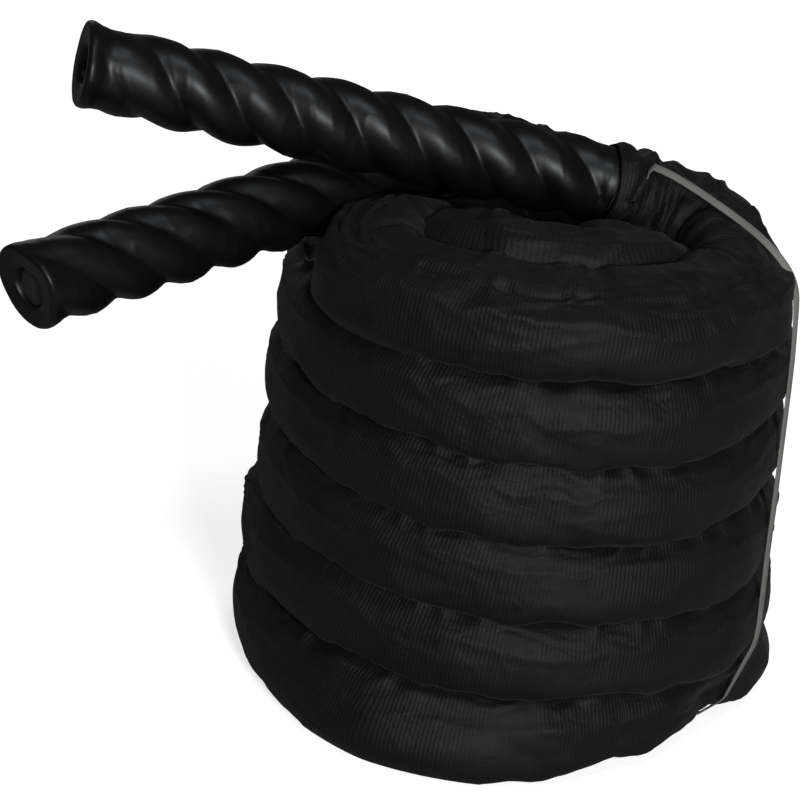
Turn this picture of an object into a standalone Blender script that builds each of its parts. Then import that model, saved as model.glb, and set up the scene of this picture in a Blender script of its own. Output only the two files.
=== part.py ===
# Heavy battle rope wound into an upright coil, with two twisted grips and a tie strap.
# World frame: X to the right, -Y to the front, Z up, origin under the middle of the whole part.
import math

import bmesh
import bpy
from mathutils import Vector

for left_over in list(bpy.data.objects):
    bpy.data.objects.remove(left_over, do_unlink=True)

# Driving dimensions in metres
SLEEVE_W = 0.056
SLEEVE_H = 0.0486
SLEEVE_T = 0.0012
FIT = 0.00035
TURN_GAP = 0.0031
INNER_TURN_GAP = 0.0044
LAYER_GAP = 0.0040
SPIRAL_GAP = 0.0050
FLOOR_R = 0.1345
TOP_R = 0.1265
TUCK_R = 0.0415
LEAN_FLOOR_L = 0.0100
LEAN_TOP_L = 0.0050
GRIP_CREST_R = 0.0250
GRIP_LOBE = 0.0019
GRIP_T = 0.0010
GRIP_FADE = 0.0260
LAY = 0.1110
END_HOLE_R = 0.0085
END_FOLD = 0.0030
END_ROUND = 0.0035
STRAND_R = 0.0098
STRAND_ORBIT = 0.0123
STRAND_BACK = 0.0110
SEAL_R = 0.0185
SEAL_T = 0.0030
BAND_L = 0.0060
BAND_T = 0.0010
NECK_L = 0.0540
STRAP_W = 0.0052
STRAP_T = 0.0011
STRAP_STEP = 0.0040
KNOT_L = 0.0110
KNOT_W = 0.0080
KNOT_Z = 0.1500

# Worked out from the sizes above
LEVELS = 6
REST_Z = SLEEVE_H / 2
LEVEL_H = SLEEVE_H + TURN_GAP
INNER_LEVEL_H = SLEEVE_H + INNER_TURN_GAP
TOP_Z = REST_Z + LEVEL_H * (LEVELS - 1)
INNER_R = TOP_R - SLEEVE_W - LAYER_GAP
SPIRAL_R = TOP_R - SLEEVE_W - SPIRAL_GAP
EYE_R = INNER_R / 2

# Heights of the upper rope's inner turns, measured from the top turn
SPIRAL_Z = TOP_Z - 0.0308
DIP_Z = TOP_Z - 0.0413
CREST_Z = TOP_Z + 0.0070
INNER_START_Z = TOP_Z - 0.0878


def over_top(x, y, height):
    return Vector((x, y, TOP_Z + height))


# Route points of the two grips and of the necks behind them, heights measured from the top turn
UPPER_END = over_top(-0.274, -0.058, 0.0847)
UPPER_WAY = [
    over_top(0.035, 0.024, 0.0257),
    over_top(0.062, 0.031, 0.0212),
    over_top(0.084, 0.029, 0.0157),
    over_top(0.106, 0.012, 0.0077),
]
LOWER_END = over_top(-0.279, -0.176, -0.0063)
LOWER_WAY = [
    over_top(-0.068, 0.072, 0.0117),
    over_top(-0.046, 0.094, 0.0070),
    over_top(-0.014, 0.109, 0.0005),
    over_top(0.022, 0.1165, -0.0090),
]
STRAP_PLAN = [(0.070, 0.006), (0.085, 0.009), (0.103, -0.001), (0.114, -0.014), (0.130, -0.024)]

# Counts, angles in degrees and shares
PER_LOOP = 20
LOBES = 3
UPPER_TWIST = 32.0
LOWER_TWIST = 14.0
GRIP_SIDES = 18
GRIP_RINGS = 40
STRAND_SIDES = 6
STRAND_STEPS = 40
TURN = 360.0
HALF_TURN = 180.0
RAMP_FROM = 136.0
RAMP_TO = 14.0
FIRST_RAMP_FROM = 88.0
FIRST_RAMP_TO = 14.0
LOWER_JOIN = 54.0
CROSS_FROM = 162.0
SPIRAL_FROM = 142.0
SPIRAL_TO = 188.0
SINK_FROM = 156.0
SINK_TO = 204.0
DIP_FROM = 305.0
DIP_TO = 350.0
CREST_AT = 412.0
HOLD_TO = 443.0
TUCK_FROM = 425.0
TUCK_AT = 500.0
TUCK_UNTIL = 560.0
INNER_FROM = 558.0
TUCK_END = 650.0
INNER_TO = 1368.0
INNER_END = 1458.0
STRAP_LOW = -18.0
STRAP_HIGH = -8.0
CROSS_STEPS = 6
EYE_STEPS = 5
WAY_STEPS = 2
STRAP_STEPS = 44
SPLITS = 4
KNOT_RINGS = 4
KNOT_SIDES = 8
KNOT_END_SHARE = 0.55
SOFT_SHARE = 0.2
DIVE_SHARE = 0.34
END_LOBE_SHARE = 0.6

UP = Vector((0.0, 0.0, 1.0))
STEP = TURN / PER_LOOP


def soft_ramp(value, start, stop, soft=SOFT_SHARE):
    """Share from 0 to 1 as value goes from start to stop, with rounded ends."""
    t = min(max((value - start) / (stop - start), 0.0), 1.0)
    peak = 1.0 / (1.0 - soft)
    if t < soft:
        return peak * t * t / (2 * soft)
    if t > 1.0 - soft:
        return 1.0 - peak * (1.0 - t) ** 2 / (2 * soft)
    return peak * (t - soft / 2)


def outer_radius(z):
    return FLOOR_R + (TOP_R - FLOOR_R) * (z - REST_Z) / (TOP_Z - REST_Z)


def around(radius, degrees, z):
    a = math.radians(degrees)
    return Vector((radius * math.cos(a), radius * math.sin(a), z))


def lean(z):
    """How far the coil stands over to the right at a height."""
    return LEAN_FLOOR_L + (LEAN_TOP_L - LEAN_FLOOR_L) * min((z - REST_Z) / (TOP_Z - REST_Z), 1.0)


def on_coil(radius, degrees, z):
    return around(radius, degrees, z) + Vector((lean(z), 0.0, 0.0))


def through(points, steps):
    """Points of a smooth curve through the given ones, the two outermost only steering it."""
    out = []
    for i in range(1, len(points) - 2):
        a, b, c, d = points[i - 1 : i + 3]
        square = 2 * a - 5 * b + 4 * c - d
        cube = 3 * b - a - 3 * c + d
        for k in range(steps):
            t = k / steps
            out.append((2 * b + (c - a) * t + square * t * t + cube * t**3) / 2)
    out.append(points[-2])
    return out


def outer_height(degrees):
    drop = soft_ramp(degrees, FIRST_RAMP_FROM, FIRST_RAMP_TO)
    for k in range(1, LEVELS - 1):
        drop += soft_ramp(degrees, RAMP_FROM - TURN * k, RAMP_TO - TURN * k)
    return TOP_Z - LEVEL_H * drop


def inner_point(travel):
    """Upper rope after its neck: top turn, spiral inward, then the inner layer down."""
    swing = soft_ramp(travel, SPIRAL_FROM, SPIRAL_TO)
    radius = TOP_R + (SPIRAL_R - TOP_R) * swing
    z = TOP_Z + (SPIRAL_Z - TOP_Z) * soft_ramp(travel, SINK_FROM, SINK_TO)
    if travel > SINK_TO:
        radius = SPIRAL_R + (INNER_R - SPIRAL_R) * soft_ramp(travel, SINK_TO, DIP_TO)
        radius += (TUCK_R - INNER_R) * soft_ramp(travel, TUCK_FROM, TUCK_AT)
        radius += (INNER_R - TUCK_R) * soft_ramp(travel, TUCK_UNTIL, TUCK_END)
        z = SPIRAL_Z + (DIP_Z - SPIRAL_Z) * soft_ramp(travel, SINK_TO, DIP_FROM)
        z += (CREST_Z - DIP_Z) * soft_ramp(travel, DIP_TO, CREST_AT)
        z += (INNER_START_Z - CREST_Z) * soft_ramp(travel, HOLD_TO, INNER_FROM, DIVE_SHARE)
    if travel > INNER_FROM:
        z = INNER_START_Z - INNER_LEVEL_H * (min(travel, INNER_TO) - INNER_FROM) / TURN
    if travel > INNER_TO:
        z += (REST_Z - z) * soft_ramp(travel, INNER_TO, INNER_END)
    return on_coil(radius, -travel, z)


# Route of the rope from the root of the upper grip to the root of the lower grip
upper_axis = (UPPER_END - UPPER_WAY[0]).normalized()
lower_axis = (LOWER_END - LOWER_WAY[0]).normalized()
ring_start = [inner_point(STEP * i) for i in (1, 2)]
upper_curve = through([UPPER_WAY[0] + upper_axis * SLEEVE_H] + UPPER_WAY + ring_start, WAY_STEPS)
inner_run = [inner_point(STEP * i) for i in range(2, round(INNER_END / STEP) + 1)]
floor_r = outer_radius(REST_Z)
cross_mid = on_coil(floor_r / 2, CROSS_FROM, REST_Z)
eye_mid = on_coil(EYE_R, CROSS_FROM - HALF_TURN, REST_Z)
eye = [
    eye_mid + around(EYE_R, CROSS_FROM - HALF_TURN - HALF_TURN * k / EYE_STEPS, 0.0)
    for k in range(1, EYE_STEPS)
]
cross = [
    cross_mid + around(floor_r / 2, CROSS_FROM - HALF_TURN + HALF_TURN * k / CROSS_STEPS, 0.0)
    for k in range(CROSS_STEPS)
]
outer_run = []
angle = CROSS_FROM - TURN * (LEVELS - 1)
while angle <= LOWER_JOIN:
    z = outer_height(angle)
    outer_run.append(on_coil(outer_radius(z), angle, z))
    angle += STEP
last_angles = (LOWER_JOIN - STEP, LOWER_JOIN)
ring_end = [on_coil(outer_radius(outer_height(a)), a, outer_height(a)) for a in last_angles]
lower_curve = through(ring_end + LOWER_WAY[::-1] + [LOWER_WAY[0] + lower_axis * SLEEVE_H], WAY_STEPS)
route = upper_curve + inner_run + eye + cross + outer_run + lower_curve[1:]

# The bottom turn lifts a little where the strap passes under it
lift = STRAP_T + 2 * FIT
for p in route:
    across = Vector((p.x - lean(REST_Z), p.y))
    at = math.degrees(math.atan2(across.y, across.x))
    if abs(p.z - REST_Z) < FIT and abs(at - STRAP_LOW) < STEP / 2 and across.length > EYE_R:
        p.z += lift


def measured(points):
    total = [0.0]
    for a, b in zip(points, points[1:]):
        total.append(total[-1] + (b - a).length)
    return total


def cut(points, start, stop):
    """The stretch of a polyline between two lengths along it."""
    total = measured(points)
    out = []
    for want in (start, stop):
        i = max(k for k in range(len(points) - 1) if total[k] <= want or k == 0)
        share = (want - total[i]) / (total[i + 1] - total[i])
        out.append((points[i].lerp(points[i + 1], share), i))
    first, last = out
    middle = [p for p in points[first[1] + 1 : last[1] + 1]]
    keep = [p for p in middle if (p - first[0]).length > STRAP_STEP and (p - last[0]).length > STRAP_STEP]
    return [first[0]] + keep + [last[0]]


def frames(points, first=None, last=None):
    out = []
    for i, p in enumerate(points):
        ahead = (points[i + 1] - p).normalized() if i + 1 < len(points) else None
        behind = (p - points[i - 1]).normalized() if i else None
        run = (ahead or behind) + (behind or ahead)
        if i == 0 and first is not None:
            run = first
        if i + 1 == len(points) and last is not None:
            run = last
        run.normalize()
        side = run.cross(UP).normalized()
        out.append((p, side, side.cross(run)))
    return out


def hexagon(inset):
    a = SLEEVE_W / 2
    b = SLEEVE_H / 2
    tip = a - inset * math.hypot(b, a / 2) / b
    top = b - inset
    corner = tip - top * (a / 2) / b
    return [(tip, 0.0), (corner, top), (-corner, top), (-tip, 0.0), (-corner, -top), (corner, -top)]


def rings_along(line, section):
    return [[p + side * u + rise * v for u, v in section] for p, side, rise in line]


def material(name, colour, rough):
    m = bpy.data.materials.new(name)
    m.use_nodes = True
    shader = m.node_tree.nodes["Principled BSDF"]
    shader.inputs["Base Color"].default_value = colour
    shader.inputs["Roughness"].default_value = rough
    m.diffuse_color = colour
    return m


FABRIC = (0.022, 0.022, 0.025, 1.0)
SHRINK = (0.012, 0.012, 0.014, 1.0)
FIBRE = (0.060, 0.060, 0.065, 1.0)
TAPE = (0.030, 0.030, 0.032, 1.0)
WEBBING = (0.420, 0.420, 0.380, 1.0)


def loft(name, rings, hollow, colour, rough):
    """Skin rings of equal counts: a closed run of rings when hollow, capped ends when not.

    The second half of a hollow run comes back along the inside, with its diagonals mirrored
    so that both faces of the wall are split alike.
    """
    mesh = bpy.data.meshes.new(name)
    body = bmesh.new()
    rows = [[body.verts.new(p) for p in ring] for ring in rings]
    pairs = list(zip(rows, rows[1:]))
    if hollow:
        pairs.append((rows[-1], rows[0]))
    count = len(rows[0])
    for i, (a, b) in enumerate(pairs):
        back = hollow and i >= len(rings) / 2
        for k in range(count):
            n = (k + 1) % count
            if back:
                body.faces.new((a[k], a[n], b[k]))
                body.faces.new((a[n], b[n], b[k]))
            else:
                body.faces.new((a[k], a[n], b[n]))
                body.faces.new((a[k], b[n], b[k]))
    if not hollow:
        body.faces.new(rows[0])
        body.faces.new(rows[-1])
    bmesh.ops.recalc_face_normals(body, faces=body.faces[:])
    for face in body.faces:
        face.smooth = True
    body.to_mesh(mesh)
    body.free()
    mesh.materials.append(material(name + "_look", colour, rough))
    obj = bpy.data.objects.new(name, mesh)
    bpy.context.scene.collection.objects.link(obj)
    return obj


def sleeve(name, points, first=None, last=None):
    line = frames(points, first, last)
    outside = rings_along(line, hexagon(0.0))
    inside = rings_along(line, hexagon(SLEEVE_T))
    return loft(name, outside + inside[::-1], True, FABRIC, 0.7)


def rope(name, points, first=None, last=None):
    line = frames(points, first, last)
    return loft(name, rings_along(line, hexagon(SLEEVE_T + FIT)), False, FIBRE, 0.8)


# Sleeve and rope: the two bending necks and the coil between them
length = measured(route)[-1]
begin = BAND_L + FIT
pieces = {
    "neck_upper": (begin, NECK_L),
    "coil": (NECK_L + FIT, length - NECK_L - FIT),
    "neck_lower": (length - NECK_L, length - begin),
}


def heading(points, want):
    total = measured(points)
    i = max(k for k in range(len(points) - 1) if total[k] <= want)
    return (points[i + 1] - points[i]).normalized()


joint_runs = {"neck_upper": heading(route, NECK_L), "neck_lower": heading(route, length - NECK_L)}
ends = {
    "neck_upper": (-upper_axis, joint_runs["neck_upper"]),
    "coil": (joint_runs["neck_upper"], joint_runs["neck_lower"]),
    "neck_lower": (joint_runs["neck_lower"], lower_axis),
}
parts = {}
for key, (start, stop) in pieces.items():
    line = cut(route, start, stop)
    first, last = (run.copy() for run in ends[key])
    parts["sleeve_" + key] = sleeve("sleeve_" + key, line, first, last)
    parts["rope_" + key] = rope("rope_" + key, line, ends[key][0].copy(), ends[key][1].copy())


def grip_point(origin, axis, along, radius, turn_angle):
    side = axis.cross(UP).normalized()
    rise = side.cross(axis)
    out = side * math.cos(turn_angle) + rise * math.sin(turn_angle)
    return origin + axis * along + out * radius


def lay_turn(along, twist):
    """Right-hand lay: the angle of the first strand at a length from the root, from its angle there."""
    return math.radians(twist) - math.tau * along / LAY


def grip_ring(root, axis, twist, reach, along, inset):
    """Three soft lobes that turn with the lay of the rope and flatten towards the end."""
    left = (reach - along) / GRIP_FADE
    swell = END_LOBE_SHARE + (1.0 - END_LOBE_SHARE) * min(max(left, 0.0), 1.0)
    ring = []
    for k in range(GRIP_SIDES):
        own = math.tau * k / GRIP_SIDES
        radius = GRIP_CREST_R - GRIP_LOBE + GRIP_LOBE * swell * math.cos(LOBES * own) - inset
        ring.append(grip_point(root, axis, along, radius, own + lay_turn(along, twist)))
    return ring


def round_ring(root, axis, along, radius, sides):
    return [grip_point(root, axis, along, radius, math.tau * k / sides) for k in range(sides)]


def turned_ring(root, axis, twist, along, radius):
    start = lay_turn(along, twist)
    angles = [start + math.tau * k / GRIP_SIDES for k in range(GRIP_SIDES)]
    return [grip_point(root, axis, along, radius, a) for a in angles]


def handle(tag, root, end, twist):
    axis = (end - root).normalized()
    reach = (end - root).length
    stops = [(reach - END_ROUND) * i / (GRIP_RINGS - 1) for i in range(GRIP_RINGS)]
    outside = [grip_ring(root, axis, twist, reach, s, 0.0) for s in stops]
    inside = [grip_ring(root, axis, twist, reach, min(s, reach - END_FOLD), GRIP_T) for s in stops]
    shoulder = turned_ring(root, axis, twist, reach, GRIP_CREST_R - GRIP_LOBE - END_ROUND)
    rim = [turned_ring(root, axis, twist, s, END_HOLE_R) for s in (reach, reach - END_FOLD)]
    skin = outside + [shoulder] + rim + inside[::-1]
    parts["grip_" + tag] = loft("grip_" + tag, skin, True, SHRINK, 0.25)
    for n in range(LOBES):
        line = []
        for i in range(STRAND_STEPS + 1):
            along = -BAND_L + (reach - STRAND_BACK + BAND_L) * i / STRAND_STEPS
            turned = lay_turn(along, twist) + math.tau * n / LOBES
            line.append(grip_point(root, axis, along, STRAND_ORBIT, turned))
        rows = []
        for i, p in enumerate(line):
            run = (line[min(i + 1, STRAND_STEPS)] - line[max(i - 1, 0)]).normalized()
            if i in (0, STRAND_STEPS):
                run = axis.copy()
            along = (p - root).dot(axis)
            out = (p - root - axis * along).normalized()
            rise = run.cross(out).normalized()
            out = rise.cross(run)
            rows.append(
                [
                    p
                    + out * (STRAND_R * math.cos(math.tau * k / STRAND_SIDES))
                    + rise * (STRAND_R * math.sin(math.tau * k / STRAND_SIDES))
                    for k in range(STRAND_SIDES)
                ]
            )
        name = "strand_" + tag + "_" + str(n + 1)
        parts[name] = loft(name, rows, False, FIBRE, 0.8)
    near = reach - STRAND_BACK + FIT
    seal = [round_ring(root, axis, s, SEAL_R, GRIP_SIDES) for s in (near, near + SEAL_T)]
    parts["end_seal_" + tag] = loft("end_seal_" + tag, seal, False, TAPE, 0.5)
    hole = STRAND_ORBIT + STRAND_R + FIT
    band = [
        round_ring(root, axis, -BAND_L, hole + BAND_T, GRIP_SIDES),
        round_ring(root, axis, -FIT, hole + BAND_T, GRIP_SIDES),
        round_ring(root, axis, -FIT, hole, GRIP_SIDES),
        round_ring(root, axis, -BAND_L, hole, GRIP_SIDES),
    ]
    parts["sleeve_band_" + tag] = loft("sleeve_band_" + tag, band, True, TAPE, 0.4)


handle("upper", UPPER_WAY[0], UPPER_END, UPPER_TWIST)
handle("lower", LOWER_WAY[0], LOWER_END, LOWER_TWIST)


# Tie strap: up through the hollow, over the right side, down the outside and under the bottom turn
def cover_height(x, y):
    """Height of the sleeve's upper face over a point on the floor plan."""
    best = 0.0
    for a, b in zip(route, route[1:]):
        flat = Vector((b.x - a.x, b.y - a.y))
        if flat.length < FIT:
            continue
        t = min(max(((x - a.x) * flat.x + (y - a.y) * flat.y) / flat.length_squared, 0.0), 1.0)
        away = math.hypot(x - a.x - flat.x * t, y - a.y - flat.y * t)
        if away < SLEEVE_W / 2:
            rise = SLEEVE_H / 2 * min(1.0, (SLEEVE_W / 2 - away) / (SLEEVE_W / 4))
            best = max(best, a.z + (b.z - a.z) * t + rise)
    return best


gap = FIT + STRAP_T
hollow_foot = on_coil(EYE_R, STRAP_LOW, STRAP_T / 2)
outer_foot = on_coil(outer_radius(REST_Z) + SLEEVE_W / 2 + gap, STRAP_LOW, STRAP_T / 2)
inner_top = on_coil(EYE_R, STRAP_LOW, DIP_Z)
outer_top = on_coil(TOP_R + SLEEVE_W / 2 + gap, STRAP_HIGH, TOP_Z)
plan = [Vector(inner_top.xy)] + [Vector(p) for p in STRAP_PLAN] + [Vector(outer_top.xy)]
plan_run = [0.0]
for a, b in zip(plan, plan[1:]):
    plan_run.append(plan_run[-1] + (b - a).length)
over = []
for i in range(STRAP_STEPS + 1):
    want = plan_run[-1] * i / STRAP_STEPS
    k = max(n for n in range(len(plan) - 1) if plan_run[n] <= want)
    p = plan[k].lerp(plan[k + 1], (want - plan_run[k]) / (plan_run[k + 1] - plan_run[k]))
    across = (plan[k + 1] - plan[k]).orthogonal().normalized() * (STRAP_W / 2 + FIT)
    high = max(cover_height(p.x + across.x * n, p.y + across.y * n) for n in (-1, 0, 1))
    over.append((want, p.x, p.y, high + gap + 6 * FIT))
over[-1] = (plan_run[-1], outer_top.x, outer_top.y, TOP_Z)
over[0] = (0.0, inner_top.x, inner_top.y, DIP_Z)
hull = [over[0]]
for p in over[1:]:
    while len(hull) > 1:
        a, b = hull[-2], hull[-1]
        if (b[3] - a[3]) * (p[0] - a[0]) <= (p[3] - a[3]) * (b[0] - a[0]):
            hull.pop()
        else:
            break
    hull.append(p)
strap_line = [Vector(p[1:]) for p in hull]
for k in range(LEVELS - 2, -1, -1):
    z = REST_Z + LEVEL_H * k
    bend = STRAP_LOW + (STRAP_HIGH - STRAP_LOW) * k / (LEVELS - 1)
    strap_line.append(on_coil(outer_radius(z) + SLEEVE_W / 2 + gap, bend, z))
knot_low = on_coil(EYE_R, STRAP_LOW, KNOT_Z - KNOT_L / 2)
knot_high = on_coil(EYE_R, STRAP_LOW, KNOT_Z + KNOT_L / 2)
strap_line = [knot_high + UP * FIT] + strap_line + [outer_foot, hollow_foot, knot_low - UP * FIT]
rows = []
size = len(strap_line)
for i, p in enumerate(strap_line):
    ahead = strap_line[min(i + 1, size - 1)] - p
    behind = p - strap_line[max(i - 1, 0)]
    run = (ahead.normalized() + behind.normalized()).normalized()
    wide = around(UP.length, STRAP_LOW - TURN / 4, 0.0)
    thick = wide.cross(run).normalized()
    wide = run.cross(thick).normalized()
    half_w = wide * (STRAP_W / 2)
    half_t = thick * (STRAP_T / 2)
    rows.append([p + half_w + half_t, p - half_w + half_t, p - half_w - half_t, p + half_w - half_t])
parts["tie_strap"] = loft("tie_strap", rows, False, WEBBING, 0.8)
knot = []
for k in range(KNOT_RINGS + 1):
    t = k / KNOT_RINGS
    radius = KNOT_W / 2 * (KNOT_END_SHARE + (1.0 - KNOT_END_SHARE) * math.sin(math.pi * t))
    middle = knot_low.lerp(knot_high, t)
    knot.append([middle + around(radius, TURN * n / KNOT_SIDES, 0.0) for n in range(KNOT_SIDES)])
parts["tie_knot"] = loft("tie_knot", knot, False, WEBBING, 0.8)


def gap_to_itself(points, skip):
    """Least distance between the sleeve's own turns, judged on section points."""
    section = hexagon(0.0)
    fine = []
    for a, b in zip(points, points[1:]):
        fine += [a.lerp(b, k / SPLITS) for k in range(SPLITS)]
    line = frames(fine)
    best = SLEEVE_W
    for i, (p, side, rise) in enumerate(line):
        for j in range(i + skip, len(line)):
            q, other, lift_q = line[j]
            if (p - q).length > SLEEVE_W * 1.5:
                continue
            for u, v in section:
                d = p + side * u + rise * v - q
                x = abs(d.dot(other))
                y = abs(d.dot(lift_q))
                along = abs(d.dot(other.cross(lift_q)))
                if along > SLEEVE_W / SPLITS / 2:
                    continue
                a, b = SLEEVE_W / 2, SLEEVE_H / 2
                slant = (x * b + y * a / 2 - a * b) / math.hypot(b, a / 2)
                away = max(slant, y - b)
                best = min(best, away)
    return best


grips = (UPPER_END - UPPER_WAY[0]).length + (LOWER_END - LOWER_WAY[0]).length
print("rope length between the grips %.2f m, with grips %.2f m" % (length, length + grips))
print("least gap of the sleeve to itself %.2f mm" % (gap_to_itself(route, 7 * SPLITS) * 1000))


# Stand the whole part on the floor with its middle over the origin
corners = [obj.matrix_world @ v.co for obj in parts.values() for v in obj.data.vertices]
low = Vector([min(c[k] for c in corners) for k in range(3)])
high = Vector([max(c[k] for c in corners) for k in range(3)])
shift = Vector((-(low.x + high.x) / 2, -(low.y + high.y) / 2, -low.z))
root = bpy.data.objects.new("battle_rope", None)
bpy.context.scene.collection.objects.link(root)
root.location = shift
turns = {"upper": UPPER_WAY[1], "lower": LOWER_WAY[1]}
for tag, at in turns.items():
    empty = bpy.data.objects.new(tag + "_pivot", None)
    bpy.context.scene.collection.objects.link(empty)
    empty.parent = root
    empty.location = at
    turns[tag] = empty
    print(tag + " pivot", [round(c, 4) for c in at + shift])
for name, obj in parts.items():
    moving = [tag for tag in turns if "_" + tag in name and "neck" not in name]
    obj.parent = turns[moving[0]] if moving else root
    if moving:
        obj.location = -obj.parent.location
print("shift", [round(c, 5) for c in shift])
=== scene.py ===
# Looks of the coiled battle rope: wrinkled sleeve, twisted glossy grips and tie strap.
import math

import bpy
import numpy as np
from mathutils import Matrix, Vector


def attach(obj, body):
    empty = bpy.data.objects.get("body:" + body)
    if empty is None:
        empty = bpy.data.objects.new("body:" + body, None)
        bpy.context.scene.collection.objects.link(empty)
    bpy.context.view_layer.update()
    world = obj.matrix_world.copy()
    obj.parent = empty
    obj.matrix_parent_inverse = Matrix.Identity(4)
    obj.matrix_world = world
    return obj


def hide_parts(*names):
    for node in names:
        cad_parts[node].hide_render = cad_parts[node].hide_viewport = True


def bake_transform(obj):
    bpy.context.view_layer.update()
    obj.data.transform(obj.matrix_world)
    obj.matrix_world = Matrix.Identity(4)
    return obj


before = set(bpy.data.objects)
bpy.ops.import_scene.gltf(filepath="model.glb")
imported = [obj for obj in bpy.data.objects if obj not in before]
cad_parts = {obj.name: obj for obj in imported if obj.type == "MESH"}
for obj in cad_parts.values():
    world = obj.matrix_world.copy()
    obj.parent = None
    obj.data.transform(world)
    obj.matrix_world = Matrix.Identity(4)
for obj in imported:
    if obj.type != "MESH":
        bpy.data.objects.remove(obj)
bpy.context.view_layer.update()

UP = np.array((0.0, 0.0, 1.0))
TAU = math.tau
TURN = 360.0
HALF_TURN = 180.0
MM = 0.001

# Sizes of the coil in metres, as in the solids
SHIFT = np.array((0.06068, 0.01376, 0.0))
SLEEVE_W = 0.056
SLEEVE_H = 0.0486
TURN_GAP = 0.0031
INNER_TURN_GAP = 0.0044
LAYER_GAP = 0.0040
SPIRAL_GAP = 0.0050
FLOOR_R = 0.1345
TOP_R = 0.1265
TUCK_R = 0.0415
LEAN_FLOOR_L = 0.010
LEAN_TOP_L = 0.005
NECK_L = 0.054
LAY = 0.111
LEVELS = 6
REST_Z = SLEEVE_H / 2
LEVEL_H = SLEEVE_H + TURN_GAP
INNER_LEVEL_H = SLEEVE_H + INNER_TURN_GAP
TOP_Z = REST_Z + LEVEL_H * (LEVELS - 1)
INNER_R = TOP_R - SLEEVE_W - LAYER_GAP
SPIRAL_R = TOP_R - SLEEVE_W - SPIRAL_GAP
EYE_R = INNER_R / 2
SPIRAL_Z = TOP_Z - 0.0308
DIP_Z = TOP_Z - 0.0413
CREST_Z = TOP_Z + 0.0070
INNER_START_Z = TOP_Z - 0.0878
AXIS_XY = np.array(((LEAN_FLOOR_L + LEAN_TOP_L) / 2, 0.0))

# Route points of the grips and of the necks behind them, as in the solids
TOP = np.array((0.0, 0.0, TOP_Z))
UPPER_END = TOP + (-0.274, -0.058, 0.0847)
UPPER_WAY = TOP + (
    (0.035, 0.024, 0.0257),
    (0.062, 0.031, 0.0212),
    (0.084, 0.029, 0.0157),
    (0.106, 0.012, 0.0077),
)
LOWER_END = TOP + (-0.279, -0.176, -0.0063)
LOWER_WAY = TOP + (
    (-0.068, 0.072, 0.0117),
    (-0.046, 0.094, 0.0070),
    (-0.014, 0.109, 0.0005),
    (0.022, 0.1165, -0.0090),
)

# Angles of the route in degrees and shares of its ramps, as in the solids
STEP = 18.0
FIRST_RAMP_FROM = 88.0
FIRST_RAMP_TO = 14.0
RAMP_FROM = 136.0
RAMP_TO = 14.0
LOWER_JOIN = 54.0
CROSS_FROM = 162.0
SPIRAL_FROM = 142.0
SPIRAL_TO = 188.0
SINK_FROM = 156.0
SINK_TO = 204.0
DIP_FROM = 305.0
DIP_TO = 350.0
CREST_AT = 412.0
HOLD_TO = 443.0
TUCK_FROM = 425.0
TUCK_AT = 500.0
TUCK_UNTIL = 560.0
INNER_FROM = 558.0
TUCK_END = 650.0
INNER_TO = 1368.0
INNER_END = 1458.0
CROSS_STEPS = 6
EYE_STEPS = 5
SOFT_SHARE = 0.2
DIVE_SHARE = 0.34

# Finer route of the dressed rope
CURVE_STEPS = 12
ROUTE_GAP = 0.0018
SMOOTHINGS = 3


def unit(v):
    return v / np.linalg.norm(v, axis=-1, keepdims=True)


def smooth(x, a, b):
    """Share from 0 to 1 as x goes from a to b, with rounded ends."""
    t = np.clip((np.asarray(x, float) - a) / (b - a), 0.0, 1.0)
    return t * t * (3.0 - 2.0 * t)


def between(x, rise, fall):
    """Share that grows from 0 to 1 over rise and goes back to 0 over fall."""
    return smooth(x, *rise) * (1 - smooth(x, *fall))


def bell(x, middle, width):
    return np.exp(-(((x - middle) / width) ** 2))


def soft_ramp(value, start, stop, soft=SOFT_SHARE):
    """Straighter share from 0 to 1, rounded only over the soft share of its ends."""
    t = min(max((value - start) / (stop - start), 0.0), 1.0)
    peak = 1.0 / (1.0 - soft)
    if t < soft:
        return peak * t * t / (2 * soft)
    if t > 1.0 - soft:
        return 1.0 - peak * (1.0 - t) ** 2 / (2 * soft)
    return peak * (t - soft / 2)


def circle(radius, degrees):
    """Points of a level circle round the origin, at angles in degrees."""
    a = np.radians(degrees)
    return np.stack((radius * np.cos(a), radius * np.sin(a), 0 * a), axis=-1)


def on_coil(radius, degrees, z):
    share = min((z - REST_Z) / (TOP_Z - REST_Z), 1.0)
    lean = LEAN_FLOOR_L + (LEAN_TOP_L - LEAN_FLOOR_L) * share
    return circle(radius, degrees) + (lean, 0.0, z)


def outer_radius(z):
    return FLOOR_R + (TOP_R - FLOOR_R) * (z - REST_Z) / (TOP_Z - REST_Z)


def outer_point(degrees):
    """Lower rope on the outer turns, one level down at each ramp."""
    drop = soft_ramp(degrees, FIRST_RAMP_FROM, FIRST_RAMP_TO)
    for k in range(1, LEVELS - 1):
        drop += soft_ramp(degrees, RAMP_FROM - TURN * k, RAMP_TO - TURN * k)
    z = TOP_Z - LEVEL_H * drop
    return on_coil(outer_radius(z), degrees, z)


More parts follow.
